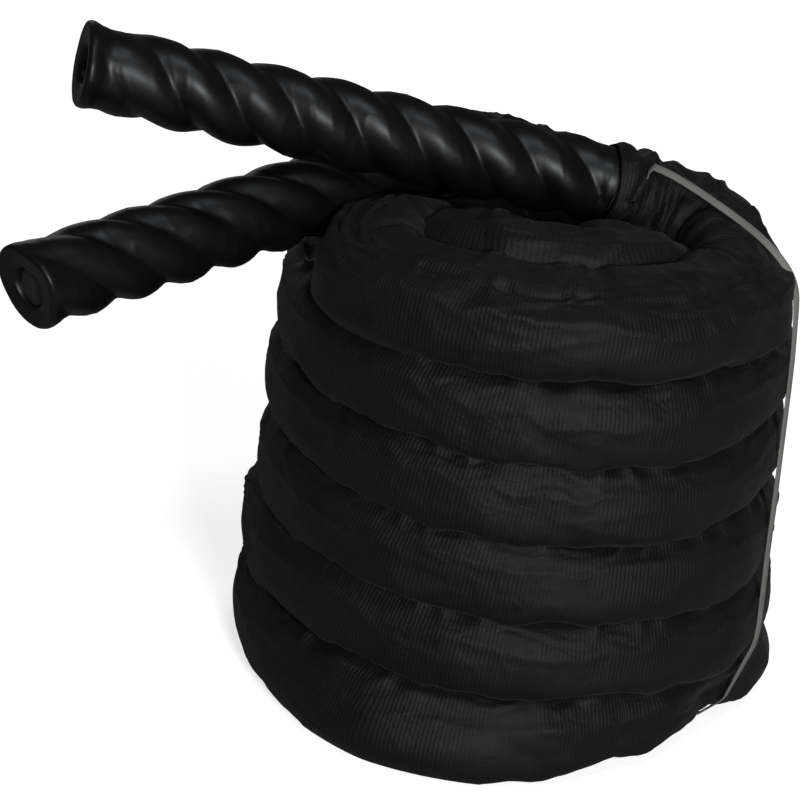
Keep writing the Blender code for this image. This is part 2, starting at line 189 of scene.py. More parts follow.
def inner_point(travel):
    """Upper rope after its neck: top turn, spiral inward, then the inner layer down."""
    radius = TOP_R + (SPIRAL_R - TOP_R) * soft_ramp(travel, SPIRAL_FROM, SPIRAL_TO)
    z = TOP_Z + (SPIRAL_Z - TOP_Z) * soft_ramp(travel, SINK_FROM, SINK_TO)
    if travel > SINK_TO:
        radius = SPIRAL_R + (INNER_R - SPIRAL_R) * soft_ramp(travel, SINK_TO, DIP_TO)
        radius += (TUCK_R - INNER_R) * soft_ramp(travel, TUCK_FROM, TUCK_AT)
        radius += (INNER_R - TUCK_R) * soft_ramp(travel, TUCK_UNTIL, TUCK_END)
        z = SPIRAL_Z + (DIP_Z - SPIRAL_Z) * soft_ramp(travel, SINK_TO, DIP_FROM)
        z += (CREST_Z - DIP_Z) * soft_ramp(travel, DIP_TO, CREST_AT)
        z += (INNER_START_Z - CREST_Z) * soft_ramp(travel, HOLD_TO, INNER_FROM, DIVE_SHARE)
    if travel > INNER_FROM:
        z = INNER_START_Z - INNER_LEVEL_H * (min(travel, INNER_TO) - INNER_FROM) / TURN
    if travel > INNER_TO:
        z += (REST_Z - z) * soft_ramp(travel, INNER_TO, INNER_END)
    return on_coil(radius, -travel, z)


def curve_through(points, gap):
    """Even points along a smooth curve through the given ones, and their lengths along it."""
    p = np.array(points)
    p = np.vstack((2 * p[0] - p[1], p, 2 * p[-1] - p[-2]))
    t = np.linspace(0.0, 1.0, CURVE_STEPS, endpoint=False)[:, None]
    out = []
    for a, b, c, d in zip(p, p[1:], p[2:], p[3:]):
        square = 2 * a - 5 * b + 4 * c - d
        cube = 3 * b - a - 3 * c + d
        out.append((2 * b + (c - a) * t + square * t * t + cube * t**3) / 2)
    dense = np.vstack(out + [p[-2]])
    run = lengths_along(dense)
    want = np.linspace(0.0, run[-1], int(run[-1] / gap) + 1)
    return np.stack([np.interp(want, run, dense[:, k]) for k in range(3)], axis=1), want


def lengths_along(points):
    return np.concatenate(([0.0], np.cumsum(np.linalg.norm(np.diff(points, axis=0), axis=1))))


# Travel is how far the upper rope has gone round, in degrees. On the outer turns it counts back
# from FAR_TRAVEL, so that no travel comes twice.
FAR_TRAVEL = 3300.0


def route_stops():
    """Stops from the root of the upper grip to the root of the lower grip, and their travels."""
    inner_steps = round(INNER_END / STEP)
    eye_from = CROSS_FROM - HALF_TURN
    eye = circle(EYE_R, eye_from - HALF_TURN / EYE_STEPS * np.arange(1, EYE_STEPS))
    floor_r = outer_radius(REST_Z)
    cross = circle(floor_r / 2, eye_from + HALF_TURN / CROSS_STEPS * np.arange(CROSS_STEPS))
    outer_from = CROSS_FROM - TURN * (LEVELS - 1)
    outer_steps = round((LOWER_JOIN - outer_from) / STEP) + 1
    upper = np.vstack((
        UPPER_WAY,
        [inner_point(STEP * i) for i in range(1, inner_steps + 1)],
        on_coil(EYE_R, eye_from, REST_Z) + eye,
        on_coil(floor_r / 2, CROSS_FROM, REST_Z) + cross,
    ))
    outer = [outer_point(outer_from + STEP * k) for k in range(outer_steps)]
    lower = np.vstack((outer, LOWER_WAY[::-1]))
    before = STEP * np.arange(-len(UPPER_WAY), 0)
    after = STEP * np.arange(1, len(upper) - len(UPPER_WAY) + 1)
    back = FAR_TRAVEL - STEP * np.arange(len(lower))
    return np.vstack((upper, lower)), np.concatenate((before, after, back)), len(upper)


stops, travels, upper_count = route_stops()
path, _ = curve_through(stops, ROUTE_GAP)
stop_at = [int(np.argmin(((path - q) ** 2).sum(1))) for q in stops]
travel = np.interp(np.arange(len(path)), stop_at, travels)
inner_part = np.arange(len(path)) < stop_at[upper_count - 1]
level = np.clip((TOP_Z - path[:, 2]) / LEVEL_H, 0.0, LEVELS - 1.0)

# Angle round the coil, from -220 to 140 degrees
SEAM_ANGLE = 140.0
angle = np.degrees(np.arctan2(path[:, 1], path[:, 0] - AXIS_XY[0]))
angle = np.where(angle > SEAM_ANGLE, angle - TURN, angle)

# How each outer turn really lies, by angle: its rise and its outward shift in mm, top turn first
LIE_AT = (-220, -180, -160, -140, -115, -90, -60, -30, -10, 10, 40)
RISE_MM = (
    (0, -4, -8, -7, -4, -3, -3, -2, -1, -3, -17),
    (0, 4, 0, -2, -5, -6, -5, -3, -1, 0, 0),
    (0, 6, 3, 0, -3, -4, -3, 0, 2, 2, 0),
    (0, 8, 5, 3, 1, 0, 0, 0, 0, 0, 0),
    (0, 10, 6, 4, 2, 2, 2, 1, 1, 1, 0),
    (0, 8, 5, 2, 0, 0, 4, 8, 6, 2, 0),
)
PUSH_MM = (
    (0, 0, 0, 0, 0, 0, 0, -4, -5, 0, -2),
    (0, 0, 0, 0, 0, 0, 0, -3, -4, -3, 0),
    (0, 0, 0, 0, 0, 0, 0, -3, -4, -3, 0),
    (0, 0, 0, 0, 0, 0, 0, -1, -3, -2, 0),
    (3, 4, 3, 1, 0, 0, 0, 0, 1, 1, 0),
    (3, 5, 3, 4, 8, 2, -9, -11, -4, 5, 0),
)
# Travels over which the rope joins the top turn, leaves it, and leaves the outer turns at the end
TURN_JOINED = (-66.0, -12.0)
TURN_LEFT = (142.0, 175.0)
LOWER_LEFT = (1590.0, 1660.0)
# The upper rope's inner turn lies flatter than its solid: by travel, its rise and its shift in mm
FILL_AT = (380, 410, 445, 470, 480, 490, 500, 510, 520, 535, 550, 570)
FILL_RISE_MM = (0, -4, -5, 0, 8, 17, 25, 29, 26, 16, 7, 0)
FILL_PUSH_MM = (0, 0, 5, 15, 21, 25, 27, 26, 22, 12, 5, 0)


def lie_of_turns(table):
    """A table's value at each point of the route, between the turns above and below it."""
    rows = np.array([np.interp(angle, LIE_AT, row) for row in table])
    low = np.clip(np.floor(level).astype(int), 0, LEVELS - 2)
    part = np.clip(level - low, 0.0, 1.0)
    column = np.arange(len(angle))
    return (rows[low, column] * (1 - part) + rows[low + 1, column] * part) * MM


def fill(values):
    return np.where(inner_part, np.interp(travel, FILL_AT, values), 0.0) * MM


on_top_turn = between(travel, TURN_JOINED, TURN_LEFT)
outer_share = np.where(inner_part, on_top_turn, smooth(travel, *LOWER_LEFT))
out_xy = unit(path[:, :2] - AXIS_XY)
path[:, 2] += lie_of_turns(RISE_MM) * outer_share
path[:, :2] += out_xy * (lie_of_turns(PUSH_MM) * outer_share)[:, None]
path[:, 2] += fill(FILL_RISE_MM)
path[:, :2] += out_xy * fill(FILL_PUSH_MM)[:, None]
for _ in range(SMOOTHINGS):
    path[1:-1] = (path[:-2] + 2 * path[1:-1] + path[2:]) / 4
route = path + SHIFT
along = lengths_along(route)
length = along[-1]

# Frame at each point of the route: ahead, to the side, and up; the side is turned outward later
ahead = unit(np.gradient(route, axis=0))
side = unit(np.cross(ahead, UP))
rise = np.cross(side, ahead)
from_axis = route[:, :2] - SHIFT[:2] - AXIS_XY
outward_sign = np.where((side[:, :2] * from_axis).sum(1) < 0, -1.0, 1.0)

# Numbers that spread the noise's cells
SPREAD_U = 127.1
SPREAD_V = 311.7
SPREAD_SEED = 74.7
SPREAD = 43758.5453


def hashed(i, j, seed):
    x = np.sin(i * SPREAD_U + j * SPREAD_V + seed * SPREAD_SEED) * SPREAD
    return x - np.floor(x)


def grain(u, v, seed, period=0):
    """Smooth value noise from 0 to 1 over u and v, repeating in v after period cells."""
    i, j = np.floor(u), np.floor(v)
    fu, fv = u - i, v - j
    fu, fv = fu * fu * (3 - 2 * fu), fv * fv * (3 - 2 * fv)
    j2 = j + 1
    if period:
        j, j2 = np.mod(j, period), np.mod(j2, period)
    low = hashed(i, j, seed) * (1 - fu) + hashed(i + 1, j, seed) * fu
    high = hashed(i, j2, seed) * (1 - fu) + hashed(i + 1, j2, seed) * fu
    return low * (1 - fv) + high * fv


def ridges(u, v, seed, period=0, sharp=2.0):
    """Noise from 0 to 1 with narrow ridges, narrower where sharp is more."""
    return (1.0 - np.abs(2.0 * grain(u, v, seed, period) - 1.0)) ** sharp


def mesh_object(name, verts, faces, uvs=None):
    mesh = bpy.data.meshes.new(name)
    mesh.from_pydata([tuple(v) for v in verts], [], faces)
    if uvs is not None:
        layer = mesh.uv_layers.new(name="UVMap")
        loops = np.empty(len(mesh.loops), dtype=np.int32)
        mesh.loops.foreach_get("vertex_index", loops)
        layer.data.foreach_set("uv", np.asarray(uvs, dtype=np.float32)[loops].ravel())
    mesh.shade_smooth()
    obj = bpy.data.objects.new(name, mesh)
    bpy.context.scene.collection.objects.link(obj)
    return obj


def grid_faces(rows, cols, wrap=False):
    """Quads between rows of equal counts; without wrap each row's last point doubles its first."""
    r = np.arange(rows - 1)[:, None] * cols
    c = np.arange(cols if wrap else cols - 1)[None, :]
    n = (c + 1) % cols
    return np.stack((r + c, r + n, r + cols + n, r + cols + c), axis=-1).reshape(-1, 4).tolist()


def end_faces(rows, cols):
    """Flat ends of a tube made by grid_faces with wrap."""
    return [list(range(cols))[::-1], list(range(cols * (rows - 1), cols * rows))]


def around_route(mid, across, above, turned, radius):
    """Rings of points round mid, at angles turned from across towards above."""
    flat = across[:, None, :] * (np.cos(turned) * radius)[..., None]
    return mid[:, None, :] + flat + above[:, None, :] * (np.sin(turned) * radius)[..., None]


# Outlines of the sleeve round the rope, in mm outward and up. The loose fabric has sunk: a tall
# face, a sloping shoulder above its crest and a lip below. The top turn's shoulder is a flat deck.
TURN_OUTLINE_MM = (
    (28.0, 0), (28.4, 4), (28.0, 7), (24.6, 12.5), (20.8, 18.2), (17.0, 22.8), (9.0, 26.2),
    (0, 27.0), (-12, 25.8), (-21, 20.5), (-26.5, 11), (-28, 0), (-26.5, -11), (-21, -20.5),
    (-12, -25.6), (0, -26.6), (13, -26.6), (21.5, -24.6), (26.6, -21.0), (28.4, -14), (28.2, -7),
)
DECK_OUTLINE_MM = (
    (28.4, 0), (28.8, 4), (28.0, 7), (22.0, 11.0), (12.0, 16.0), (0, 21.4), (-10, 24.2),
    (-18, 24.8), (-25, 22.2), (-31, 15), (-34, 6), (-32.5, -4), (-27.5, -13), (-20, -20.5),
    (-12, -25.6), (0, -27.4), (13, -28.6), (21.5, -28.2), (26.6, -23.2), (28.8, -15), (28.8, -7),
)
# Height of the crest over the middle of each turn in mm, by angle round the coil, top turn first
CRESTS_MM = (
    (
        (-165, 12), (-147, 17), (-137, 6), (-124, 13), (-113, 9), (-109, 5), (-103, 13), (-93, 9),
        (-83, 11), (-65, 4), (-46, 4), (-30, 11), (0, 8),
    ),
    (
        (-160, 8), (-144, 11), (-133, 7), (-125, 12), (-116, 10), (-113, 4), (-109, 9), (-103, 4),
        (-97, 7), (-92, 8), (-87, 3), (-81, 4), (-73, 3), (-60, 3), (-52, 8), (-43, 14), (-20, 8),
    ),
    (
        (-160, 10), (-136, 9), (-124, 9), (-118, 9), (-110, 14), (-105, 8), (-97, 15), (-92, 8),
        (-85, 13), (-77, 8), (-71, 15), (-50, 8), (-20, 12),
    ),
    (
        (-160, 6), (-123, 4), (-113, 12), (-103, 13), (-89, 11), (-78, 11), (-65, 16), (-52, 16),
        (-38, 12), (-10, 8),
    ),
    ((-160, 10), (-130, 13), (-112, 8), (-96, 13), (-80, 7), (-66, 12), (-50, 9), (-20, 13)),
    (
        (-160, 9), (-135, 14), (-118, 8), (-104, 12), (-92, 9), (-78, 14), (-60, 8), (-40, 12),
        (-10, 9),
    ),
)
# How far the bottom turn's fabric bags outward in mm, by angle round the coil
BAG_MM = (
    (-165, 0), (-150, 1), (-130, 4), (-118, 6), (-100, 7), (-92, 3), (-85, 0), (-66, -2),
    (-45, -5), (-30, -8), (-20, -8), (-10, -2), (0, 5), (10, 5), (24, 0),
)
# Angles in an outline between which it is stretched, so that its crest meets the ring's crest
OUTLINE_CREST = math.radians(11.0)
STRETCH_FROM = math.radians(-40.0)
STRETCH_TO = math.radians(56.0)

# The sleeve's section: its points, its radius where the crests are, at the necks and at most
SIDES = 96
CREST_R = 0.028
NECK_R = 0.0250
MOST_R = 0.0368
GIRTH = 0.168
FINE = np.linspace(0.0, TAU, 721)
SOFT_COUNT = 17
SOFTEN = np.hanning(SOFT_COUNT) / np.hanning(SOFT_COUNT).sum()

# Thickenings of the section in metres: humps of the inner turn, sag under the top turn's left
HUMP_UP = 0.0085
HUMP_OUT = 0.0060
HANG = 0.0085

# Heights of the folds in metres
LUMP_H = 0.0026
WIDE_LUMP_H = 0.0012
INNER_FOLD_H = 0.0038
INNER_RIPPLE_H = 0.0008
UPPER_FOLD_H = 0.0032
UPPER_PLEAT_H = 0.0014
SHOULDER_PLEAT_H = 0.0012
SHOULDER_FOLD_H = 0.0005
UNDER_PLEAT_H = 0.0012
BITE_H = 0.0070
NICK_H = 0.0022
SLANT_H = 0.0008
BUCKLE_H = 0.0022
PINCH_H = 0.0016
CREASE_H = 0.0007
SECOND_H = 0.0009
SECOND_DEPTH = 0.0008
JAG_H = 0.0050
FINE_JAG_H = 0.0022
NECK_PLEAT_H = 0.0040
GATHER_H = 0.0030

# Lengths of the folds along the rope in metres
LUMP_L = 0.040
WIDE_LUMP_L = 0.11
DRIFT_L = 0.05
FOLD_L = 0.015
RIPPLE_L = 0.006
PLEAT_L = 0.06
PLEAT_BEND_L = 0.03
SLANT_L = 0.045
SLANT_PITCH = 0.09
BREAK_L = 0.04
BITE_L = 0.020
NICK_L = 0.007
BUCKLE_L = 0.028
PINCH_L = 0.050
PINCH_PITCH = 0.12
SECOND_L = 0.045
SECOND_BEND_L = 0.035
JAG_L = 0.012
FINE_JAG_L = 0.0050
NECK_PLEAT_L = 0.017
GATHER_L = 0.03

# Valleys pressed into the neck's skin: place along the rope, width and depth in metres
FIRST_VALLEY = (0.0125, 0.0032, 0.0052)
SECOND_VALLEY = (0.0300, 0.0036, 0.0050)
SIDE_VALLEY = (0.042, 0.012, 0.0042)


def soft_outline(points_mm):
    """Distance of an outline at each angle in FINE, with its corners rounded."""
    x, y = (np.array(points_mm) * MM).T
    at = np.mod(np.arctan2(y, x), TAU)
    order = np.argsort(at)
    at, r = at[order], np.hypot(x, y)[order]
    raw = np.interp(FINE, np.concatenate((at - TAU, at, at + TAU)), np.tile(r, 3))
    n = SOFT_COUNT
    padded = np.concatenate((raw[-n:-1], raw, raw[1:n]))
    return np.convolve(padded, SOFTEN, "same")[n - 1 : 1 - n]


def crest_heights():
    rows = np.array([np.interp(angle, *zip(*row)) for row in CRESTS_MM])
    turn = np.clip(np.round(level).astype(int), 0, LEVELS - 1)
    return rows[turn, np.arange(len(angle))] * MM


def on_inner(share):
    return np.where(inner_part, share, 0.0)


TURN_R = soft_outline(TURN_OUTLINE_MM)
DECK_R = soft_outline(DECK_OUTLINE_MM)
crest_up = crest_heights()
# Shares of the stretches where the section differs, by travel in degrees or by angle
deck = on_inner(between(travel, (-20.0, 20.0), (170.0, 215.0)))
hump = on_inner(between(travel, (452.0, 474.0), (505.0, 530.0)))
hump_out = on_inner(between(travel, (370.0, 400.0), (480.0, 505.0)))
hang = on_inner(between(-angle, (108.0, 132.0), (172.0, 190.0))) * deck
bottom_turn = np.where(inner_part, 0.0, smooth(level, 4.6, 4.95) * outer_share)
bag = np.interp(angle, *zip(*BAG_MM)) * MM * bottom_turn


def warped(psi, crest):
    """Angles at which to read an outline, so that its own crest comes at the ring's crest."""
    own, low, high = OUTLINE_CREST, STRETCH_FROM, STRETCH_TO
    flat = np.angle(np.exp(1j * psi))
    below = low + (flat - low) * (own - low) / (crest - low)
    above = own + (flat - crest) * (high - own) / (high - crest)
    out = np.where((flat > low) & (flat <= crest), below, flat)
    return np.where((flat > crest) & (flat < high), above, out)


def angle_gap(psi, at):
    return np.angle(np.exp(1j * (psi - at)))


def run_noise(w, cell, seed):
    """Noise from 0 to 1 that changes only along the rope, w being the length along it."""
    return grain(w / cell, 0 * w, seed)


def crest_angles(k, w):
    """Angle of the crest in each ring, with a ragged line along the rope."""
    jag = (run_noise(w, JAG_L, 25) - 0.5) * JAG_H
    jag = jag + (run_noise(w, FINE_JAG_L, 26) - 0.5) * FINE_JAG_H
    return np.arctan2(crest_up[k][:, None] + jag, CREST_R)


def smooth_body(k, psi, crest_at):
    """Distance of the sleeve from the rope's middle, before its folds."""
    c, s = np.cos(psi), np.sin(psi)
    read = np.mod(warped(psi, crest_at), TAU)
    turn_r = np.interp(read, FINE, TURN_R)
    deck_r = np.interp(read, FINE, DECK_R)
    body = turn_r + (deck_r - turn_r) * deck[k][:, None]
    body = body + HUMP_UP * hump[k][:, None] * smooth(s, 0.0, 0.8)
    body = body + HUMP_OUT * hump_out[k][:, None] * smooth(c, 0.1, 0.8) * smooth(s, -0.5, 0.2)
    body = body + HANG * hang[k][:, None] * smooth(-s, 0.35, 0.8) * smooth(c, -0.1, 0.5)
    return body + bag[k][:, None] * smooth(c, 0.1, 0.7) * smooth(-s, -0.5, 0.2)


def crest_creases(w, psi, crest_at):
    """Crease along the crest and a second, broken one above it."""
    gap = angle_gap(psi, crest_at) * CREST_R
    crease = (bell(gap, 0.0, 0.0009) - bell(gap, 0.0026, 0.0018)) * CREASE_H
    crease = crease * (0.45 + 0.55 * smooth(run_noise(w, BREAK_L, 27), 0.3, 0.6))
    second_at = crest_at + math.radians(26) + 0.5 * (run_noise(w, SECOND_BEND_L, 33) - 0.5)
    gap = angle_gap(psi, second_at) * CREST_R
    second = bell(gap, 0.0, 0.0010) * SECOND_H - bell(gap, -0.0022, 0.0014) * SECOND_DEPTH
    return crease + second * smooth(run_noise(w, SECOND_L, 35), 0.35, 0.55)


def drift_of_folds(w, arc):
    return grain(w / DRIFT_L, arc * 5, 11, 5) * 1.5


def turn_folds(w, psi):
    """Folds of the sleeve over the whole coil, of other kinds inside, above, below and outside."""
    c, s = np.cos(psi), np.sin(psi)
    arc = psi / TAU
    drift = drift_of_folds(w, arc)
    bend = grain(w / PLEAT_BEND_L, arc * 4, 17, 4) * 1.6
    fold = ridges(w / FOLD_L + drift, arc * 6, seed=7, period=6, sharp=1.6) - 0.5
    ripple = ridges(w / RIPPLE_L + drift, arc * 12, seed=9, period=12, sharp=1.5) - 0.4
    pleat = ridges(w / PLEAT_L, arc * 20 + bend, seed=13, period=20, sharp=3.0) - 0.2
    slant = ridges(w / SLANT_L + arc * 9, arc * 14 - w / SLANT_PITCH, seed=15, sharp=4.0)
    pinch = ridges(w / PINCH_L + arc * 6, arc * 8 + w / PINCH_PITCH, seed=53, sharp=5.0)
    buckle = grain(w / BUCKLE_L + arc * 5, arc * 7, 51, 7) - 0.5
    broken = smooth(grain(w / BREAK_L, arc * 5, 19, 5), 0.45, 0.7)
    lumps = (grain(w / LUMP_L, arc * 4, 3, 4) - 0.5) * LUMP_H
    lumps = lumps + (grain(w / WIDE_LUMP_L, arc * 3, 5, 3) - 0.5) * WIDE_LUMP_H
    bites = (run_noise(w, BITE_L, 29) - 0.55) * BITE_H + (run_noise(w, NICK_L, 30) - 0.5) * NICK_H
    inner = smooth(-c, -0.15, 0.45)
    upper = smooth(s, 0.55, 0.85) * smooth(c, -0.5, 0.1)
    shoulder = smooth(s, 0.25, 0.6) * smooth(c, 0.0, 0.35)
    under = smooth(-s, 0.45, 0.8) * smooth(c, -0.1, 0.3)
    face = smooth(c, 0.15, 0.6)
    relief = lumps + inner * (fold * INNER_FOLD_H + ripple * INNER_RIPPLE_H)
    relief = relief + upper * (fold * UPPER_FOLD_H + pleat * UPPER_PLEAT_H)
    relief = relief + shoulder * (pleat * SHOULDER_PLEAT_H * broken + fold * SHOULDER_FOLD_H)
    relief = relief + under * (pleat * UNDER_PLEAT_H * broken + bites)
    relief = relief + (1 - inner) * (slant * SLANT_H * broken + buckle * BUCKLE_H)
    return relief + face * (pinch * PINCH_H * broken)


def neck_pleats(w, psi):
    """Deep pleats round each neck, deeper on its inner side."""
    c = np.cos(psi)
    arc = psi / TAU
    from_end = np.minimum(w, length - w)
    drift = drift_of_folds(w, arc)
    pleat = ridges(w / NECK_PLEAT_L + drift + 1.4 * c, arc * 5, seed=61, period=5, sharp=1.5) - 0.4
    near = between(from_end, (0.004, 0.020), (0.060, 0.105))
    return near * pleat * NECK_PLEAT_H * (0.4 + 0.6 * smooth(-c, -0.3, 0.5))


def neck_relief(w, psi):
    """Valleys pressed into the upper neck's skin, and the gathers where both necks start."""
    c, s = np.cos(psi), np.sin(psi)
    arc = psi / TAU
    from_end = np.minimum(w, length - w)
    curl = (grain(arc * 6, 0 * arc, 67) - 0.5) * 0.006 + 0.0035 * s
    place, width, depth = FIRST_VALLEY
    relief = -depth * bell(w, place + curl, width)
    place, width, depth = SECOND_VALLEY
    relief = relief - depth * bell(w, place - curl, width)
    gather = between(from_end, (0.0, 0.006), (0.012, 0.05))
    relief = relief + gather * ridges(arc * 13 + w * 18, w / GATHER_L, seed=47, sharp=1.3) * GATHER_H
    place, width, depth = SIDE_VALLEY
    return relief - depth * bell(w, place, width) * smooth(s, 0.1, 0.6) * smooth(-c, -0.5, 0.1)


def sleeve_rings(first, last):
    """Wrinkled sleeve surface and its texture places for the rings from first to last."""
    k = np.arange(first, last)
    w = along[k][:, None]
    sign = outward_sign[k][:, None]
    psi = np.linspace(0.0, TAU, SIDES + 1)[None, :] * sign + math.pi
    crest_at = crest_angles(k, w)
    grow = smooth(np.minimum(w, length - w), 0.002, 0.045)
    radius = NECK_R + (smooth_body(k, psi, crest_at) - NECK_R) * grow
    relief = turn_folds(w, psi) + crest_creases(w, psi, crest_at) + neck_pleats(w, psi)
    relief = relief * (0.3 + 0.7 * grow) + neck_relief(w, psi)
    r = np.minimum(radius + relief, MOST_R)
    round_it = np.linspace(0.0, 1.0, SIDES + 1)[None, :] * GIRTH
    uv = np.stack((np.broadcast_to(w, psi.shape), np.broadcast_to(round_it, psi.shape)), -1)
    return around_route(route[k], side[k] * sign, rise[k], psi, r), uv


def sleeve_piece(name, first, last):
    pts, uv = sleeve_rings(first, last)
    pts[..., 2] = np.maximum(pts[..., 2], 0.0)
    rows, cols = pts.shape[:2]
    obj = mesh_object(name, pts.reshape(-1, 3), grid_faces(rows, cols), uv.reshape(-1, 2))
    obj.data.materials.append(fabric)
    return obj


def at_length(want):
    return int(np.argmin(np.abs(along - want)))


# Materials
THREAD_SHARE = 0.5
THREAD_MIX = 0.4
WEAVE_SHADE = 0.55
PATCH_SHADE = 0.6
ROUGH_SPREAD = 0.07
# Scale of a wave texture whose bands are one metre apart
WAVE_SCALE = TAU / 20.0


def new_material(name):
    m = bpy.data.materials.new(name)
    m.use_nodes = True
    return m, m.node_tree.nodes, m.node_tree.links, m.node_tree.nodes["Principled BSDF"]


def add(nodes, kind, inputs=None, **settings):
    n = nodes.new(kind)
    for key, value in settings.items():
        setattr(n, key, value)
    for key, value in (inputs or {}).items():
        n.inputs[key].default_value = value
    return n


def link_colour(nodes, links, shader, value, low, high):
    """Base colour from a ramp; low and high are each a place on it and a colour."""
    ramp = add(nodes, "ShaderNodeValToRGB")
    for element, (place, colour) in zip(ramp.color_ramp.elements, (low, high)):
        element.position = place
        element.color = colour + (1,)
    links.new(value, ramp.inputs["Fac"])
    links.new(ramp.outputs["Color"], shader.inputs["Base Color"])


def link_roughness(nodes, links, shader, value, low, high):
    spread = add(nodes, "ShaderNodeMapRange", {"To Min": low, "To Max": high})
    links.new(value, spread.inputs["Value"])
    links.new(spread.outputs[0], shader.inputs["Roughness"])


def link_bump(nodes, links, shader, value, strength, distance):
    bump = add(nodes, "ShaderNodeBump", {"Strength": strength, "Distance": distance})
    links.new(value, bump.inputs["Height"])
    links.new(bump.outputs[0], shader.inputs["Normal"])


def bands(nodes, links, vector, degrees, spacing, inputs):
    """Threads this far apart, turned by degrees in the fabric's plane."""
    turned = add(nodes, "ShaderNodeMapping", {"Rotation": (0.0, 0.0, math.radians(degrees))})
    links.new(vector, turned.inputs["Vector"])
    inputs = {"Scale": WAVE_SCALE / spacing, **inputs}
    kind = {"wave_type": "BANDS", "bands_direction": "X", "wave_profile": "SIN"}
    wave = add(nodes, "ShaderNodeTexWave", inputs, **kind)
    links.new(turned.outputs[0], wave.inputs["Vector"])
    return wave.outputs["Fac"]


def flat_noise(nodes, links, vector, inputs):
    noise = add(nodes, "ShaderNodeTexNoise", inputs, noise_dimensions="2D")
    links.new(vector, noise.inputs["Vector"])
    return noise.outputs["Fac"]


def woven(name, dark, light, rough, rib, crumpled):
    """Fabric with ribs this far apart, finer slanted threads, soft patches and small crumples."""
    m, nodes, links, shader = new_material(name)
    uv = add(nodes, "ShaderNodeUVMap", uv_map="UVMap").outputs[0]
    patches = flat_noise(nodes, links, uv, {"Scale": 45.0, "Detail": 4.0})
    uneven = {"Distortion": 0.6, "Detail": 1.0, "Detail Scale": 0.3}
    ribs = bands(nodes, links, uv, 3, rib, uneven)
    threads = bands(nodes, links, uv, 52, rib * THREAD_SHARE, {"Distortion": 0.8})
    weave = add(nodes, "ShaderNodeMix", {0: THREAD_MIX}, data_type="FLOAT")
    links.new(ribs, weave.inputs[2])
    links.new(threads, weave.inputs[3])
    shade = add(nodes, "ShaderNodeMath", {1: WEAVE_SHADE}, operation="MULTIPLY_ADD")
    patch_shade = add(nodes, "ShaderNodeMath", {1: PATCH_SHADE}, operation="MULTIPLY")
    links.new(weave.outputs[0], shade.inputs[0])
    links.new(patches, patch_shade.inputs[0])
    links.new(patch_shade.outputs[0], shade.inputs[2])
    link_colour(nodes, links, shader, shade.outputs[0], (0.2, dark), (0.9, light))
    link_roughness(nodes, links, shader, patches, rough - ROUGH_SPREAD, rough + ROUGH_SPREAD)
    crumpling = {"Scale": 95.0, "Detail": 6.0, "Roughness": 0.62, "Distortion": 0.8}
    crumples = flat_noise(nodes, links, uv, crumpling)
    height = add(nodes, "ShaderNodeMath", {1: crumpled}, operation="MULTIPLY_ADD")
    links.new(crumples, height.inputs[0])
    links.new(weave.outputs[0], height.inputs[2])
    link_bump(nodes, links, shader, height.outputs[0], 0.5, 0.0005)
    return m, shader


def plastic(name, dark, light, rough, bump_scale, bump_height):
    """Plain material with soft patches; rough is its least and most roughness."""
    m, nodes, links, shader = new_material(name)
    where = add(nodes, "ShaderNodeTexCoord")
    noise = add(nodes, "ShaderNodeTexNoise", {"Scale": bump_scale, "Detail": 5.0})
    links.new(where.outputs["Object"], noise.inputs["Vector"])
    value = noise.outputs["Fac"]
    link_colour(nodes, links, shader, value, (0.35, dark), (0.75, light))
    link_roughness(nodes, links, shader, value, *rough)
    link_bump(nodes, links, shader, value, 0.25, bump_height)
    return m, shader


def sleeve_fabric():
    dark, light = (0.0014, 0.0014, 0.0016), (0.0088, 0.0088, 0.0096)
    m, shader = woven("sleeve_fabric", dark, light, 0.58, rib=0.0021, crumpled=4.0)
    shader.inputs["Specular IOR Level"].default_value = 0.26
    shader.inputs["Sheen Weight"].default_value = 0.03
    shader.inputs["Sheen Roughness"].default_value = 0.4
    return m


def strap_webbing():
    dark, light = (0.13, 0.13, 0.117), (0.28, 0.28, 0.255)
    return woven("strap_webbing", dark, light, 0.75, rib=0.0012, crumpled=0.5)[0]


def grip_shrink():
    dark, light = (0.0020, 0.0021, 0.0024), (0.0045, 0.0046, 0.0050)
    m, shader = plastic("grip_shrink", dark, light, (0.34, 0.50), 45.0, 0.0012)
    shader.inputs["Specular IOR Level"].default_value = 0.32
    return m


def rope_fibre():
    dark, light = (0.02, 0.02, 0.022), (0.06, 0.06, 0.065)
    return plastic("rope_fibre", dark, light, (0.75, 0.9), 900.0, 0.0006)[0]


def dark_tape():
    dark, light = (0.012, 0.012, 0.013), (0.03, 0.03, 0.032)
    return plastic("dark_tape", dark, light, (0.45, 0.6), 300.0, 0.0004)[0]


def knot_webbing():
    dark, light = (0.20, 0.20, 0.175), (0.40, 0.40, 0.36)
    return plastic("knot_webbing", dark, light, (0.7, 0.85), 700.0, 0.0004)[0]


fabric = sleeve_fabric()
webbing = strap_webbing()
shrink = grip_shrink()
fibre = rope_fibre()
tape = dark_tape()
twine = knot_webbing()


def solid_look(name):
    if name.startswith(("strand", "rope")):
        return fibre
    if name.startswith("tie"):
        return twine
    return tape


for name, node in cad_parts.items():
    node.data.materials.clear()
    node.data.materials.append(solid_look(name))

# Sleeve: the coil and its two bending necks
neck = at_length(NECK_L)
neck_back = at_length(length - NECK_L)
NECKS = (("upper", 0, neck + 1), ("lower", neck_back, len(route)))

coil = sleeve_piece("sleeve_look_coil", neck, neck_back + 1)
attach(coil, "coil")
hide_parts("sleeve_coil")
necks = []
for tag, first, last in NECKS:
    obj = sleeve_piece("sleeve_look_neck_" + tag, first, last)
    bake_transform(obj)
    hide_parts("sleeve_neck_" + tag)
    necks.append(obj)

